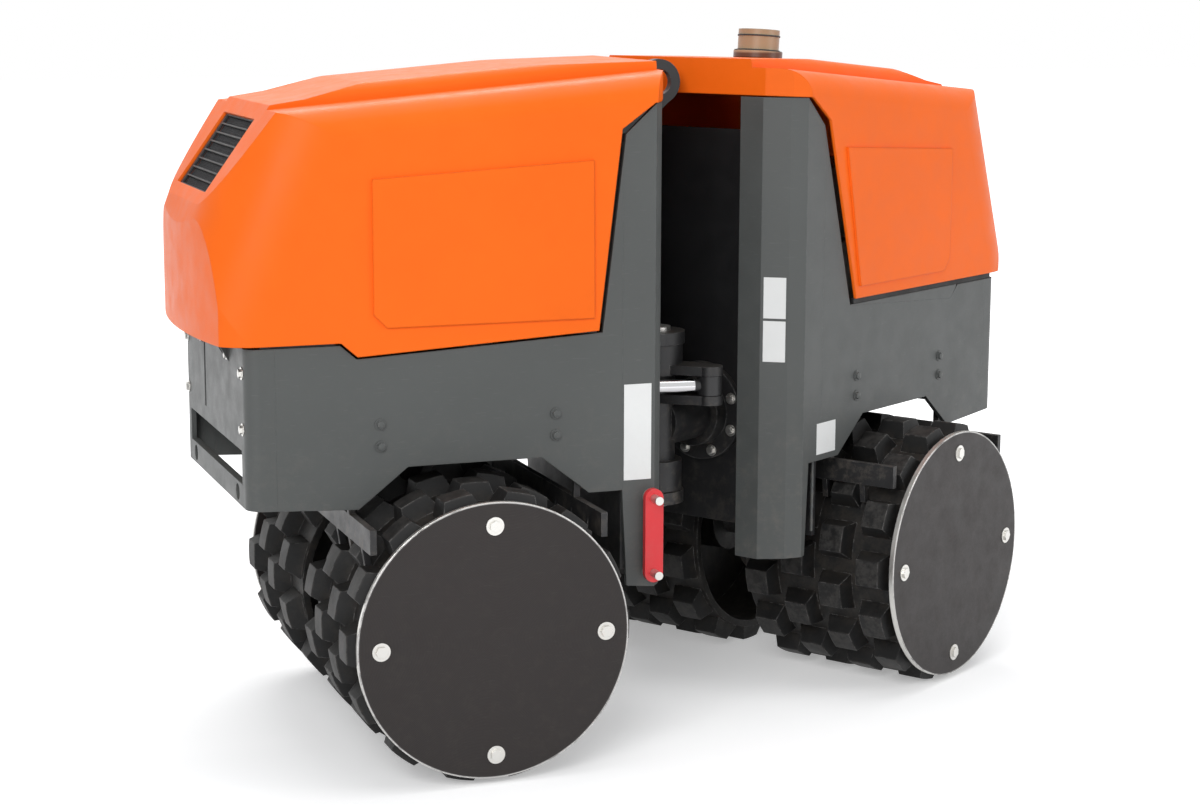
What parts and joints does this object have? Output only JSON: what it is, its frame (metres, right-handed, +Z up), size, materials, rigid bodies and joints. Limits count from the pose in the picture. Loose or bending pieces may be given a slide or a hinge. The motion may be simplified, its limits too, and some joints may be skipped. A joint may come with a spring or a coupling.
{
  "type": "trench roller",
  "caption": "Articulated trench roller with padfoot drums, hinged moulded hoods, centre steering joint and oscillation.",
  "frame": {"origin": "on the ground under the middle of the machine's bounding box", "axes": "-X is the way the front half faces, Z up, X the longest extent"},
  "size_m": [1.8525, 1.1722, 1.3238],
  "materials": {
    "hood_paint": "glossy moulded",
    "frame_paint": "satin",
    "drum_paint": "matte",
    "cover_paint": "satin",
    "zinc": "satin",
    "steel": "machined",
    "rod_chrome": "polished",
    "black_steel": "satin",
    "red_paint": "satin",
    "rubber": "matte",
    "black_plastic": "matte",
    "cast": "cast",
    "alloy": "cast",
    "tank_plastic": "matte",
    "filter_paint": "gloss"
  },
  "bodies": {
    "front_chassis": {"front_frame": "frame_paint", "front_yoke": "black_steel", "steering_pins": "zinc", "steering_bracket": "black_steel", "lifting_eye": "black_steel", "lock_pegs": "zinc", "front_hinge_pins": "zinc", "front_axle_case": "cast", "front_buffers": "rubber", "front_drive_motor": "cast", "front_vibrator_motor": "alloy", "front_scrapers": "black_steel", "engine_block": "cast", "rocker_cover": "alloy", "oil_filter": "filter_paint", "exhaust_muffler": "steel", "air_cleaner": "black_plastic", "radiator": "alloy", "fan_shroud": "black_plastic", "hydraulic_pump": "alloy", "pressure_hoses": "rubber"},
    "front_drums": {"front_axle": "steel", "front_drum_left": "drum_paint", "front_drum_right": "drum_paint", "front_drum_covers": "cover_paint", "front_cover_bolts": "zinc"},
    "front_exciter": {"front_exciter": "steel"},
    "cooling_fan": {"cooling_fan": "black_plastic"},
    "front_hood": {"front_hood": "hood_paint", "front_grille": "black_plastic"},
    "front_latch": {"front_latch": "black_plastic"},
    "lock_bar": {"lock_bar": "red_paint"},
    "knuckle": {"knuckle": "black_steel"},
    "rear_chassis": {"rear_frame": "frame_paint", "swivel_housing": "cast", "rear_hinge_pins": "zinc", "rear_axle_case": "cast", "rear_buffers": "rubber", "rear_drive_motor": "cast", "rear_vibrator_motor": "alloy", "rear_scrapers": "black_steel", "battery": "black_plastic", "hydraulic_tank": "tank_plastic", "fuel_tank": "tank_plastic", "valve_block": "alloy", "control_box": "black_plastic"},
    "rear_drums": {"rear_axle": "steel", "rear_drum_left": "drum_paint", "rear_drum_right": "drum_paint", "rear_drum_covers": "cover_paint", "rear_cover_bolts": "zinc"},
    "rear_exciter": {"rear_exciter": "steel"},
    "rear_hood": {"rear_hood": "hood_paint", "rear_grille": "black_plastic", "receiver_head": "black_plastic"},
    "rear_latch": {"rear_latch": "black_plastic"},
    "fuel_cap": {"fuel_cap": "black_plastic"},
    "steering_rod": {"steering_rod": "rod_chrome"},
    "steering_barrel": {"steering_barrel": "black_steel"}
  },
  "joints": [
    {"name": "steering", "type": "hinge", "parent": "front_chassis", "child": "knuckle", "pos_m": [0.01686, -0.15909, 0.56], "axis": [0, 0, 1], "range_deg": [-64, 0]},
    {"name": "oscillation", "type": "hinge", "parent": "knuckle", "child": "rear_chassis", "pos_m": [0.01686, -0.15909, 0.56], "axis": [0.848, 0.5299, 0], "range_deg": [-5, 5]},
    {"name": "front_drum_spin", "type": "hinge", "parent": "front_chassis", "child": "front_drums", "pos_m": [-0.45314, -0.15909, 0.265], "axis": [0, 1, 0], "continuous": true},
    {"name": "rear_drum_spin", "type": "hinge", "parent": "rear_chassis", "child": "rear_drums", "pos_m": [0.41545, 0.08997, 0.265], "axis": [-0.5299, 0.848, 0], "continuous": true},
    {"name": "front_exciter_spin", "type": "hinge", "parent": "front_chassis", "child": "front_exciter", "pos_m": [-0.45314, -0.15909, 0.395], "axis": [0, 1, 0], "continuous": true},
    {"name": "rear_exciter_spin", "type": "hinge", "parent": "rear_chassis", "child": "rear_exciter", "pos_m": [0.41545, 0.08997, 0.395], "axis": [-0.5299, 0.848, 0], "continuous": true},
    {"name": "fan_spin", "type": "hinge", "parent": "front_chassis", "child": "cooling_fan", "pos_m": [-0.73514, -0.15909, 0.86], "axis": [1, 0, 0], "continuous": true},
    {"name": "front_hood_open", "type": "hinge", "parent": "front_chassis", "child": "front_hood", "pos_m": [-0.87814, -0.15909, 0.8], "axis": [0, -1, 0], "range_deg": [0, 70]},
    {"name": "rear_hood_open", "type": "hinge", "parent": "rear_chassis", "child": "rear_hood", "pos_m": [0.77587, 0.31519, 0.8], "axis": [-0.5299, 0.848, 0], "range_deg": [0, 70]},
    {"name": "front_latch_turn", "type": "hinge", "parent": "front_hood", "child": "front_latch", "pos_m": [-0.31314, 0.12591, 0.85], "axis": [0, 1, 0], "range_deg": [0, 90]},
    {"name": "rear_latch_turn", "type": "hinge", "parent": "rear_hood", "child": "rear_latch", "pos_m": [0.14569, 0.25748, 0.85], "axis": [-0.5299, 0.848, 0], "range_deg": [0, 90]},
    {"name": "lock_bar_slide", "type": "slide", "parent": "front_chassis", "child": "lock_bar", "axis": [0, -1, 0], "range_m": [0, 0.035]},
    {"name": "fuel_cap_turn", "type": "hinge", "parent": "rear_chassis", "child": "fuel_cap", "pos_m": [0.45786, 0.25798, 1.05], "axis": [0, 0, 1], "range_deg": [0, 90]},
    {"name": "steering_rod_turn", "type": "hinge", "parent": "knuckle", "child": "steering_rod", "pos_m": [0.1006, -0.23647, 0.64], "axis": [0, 0, 1], "range_deg": [-1, 52]},
    {"name": "steering_stroke", "type": "slide", "parent": "steering_rod", "child": "steering_barrel", "axis": [0.9901, -0.1406, 0], "range_m": [-0.001, 0.101]}
  ],
  "couplings": [
    {"joint": "steering_rod_turn", "follows": "steering", "ratio": -0.78214},
    {"joint": "steering_stroke", "follows": "steering", "m_per_rad": -0.088879}
  ]
}
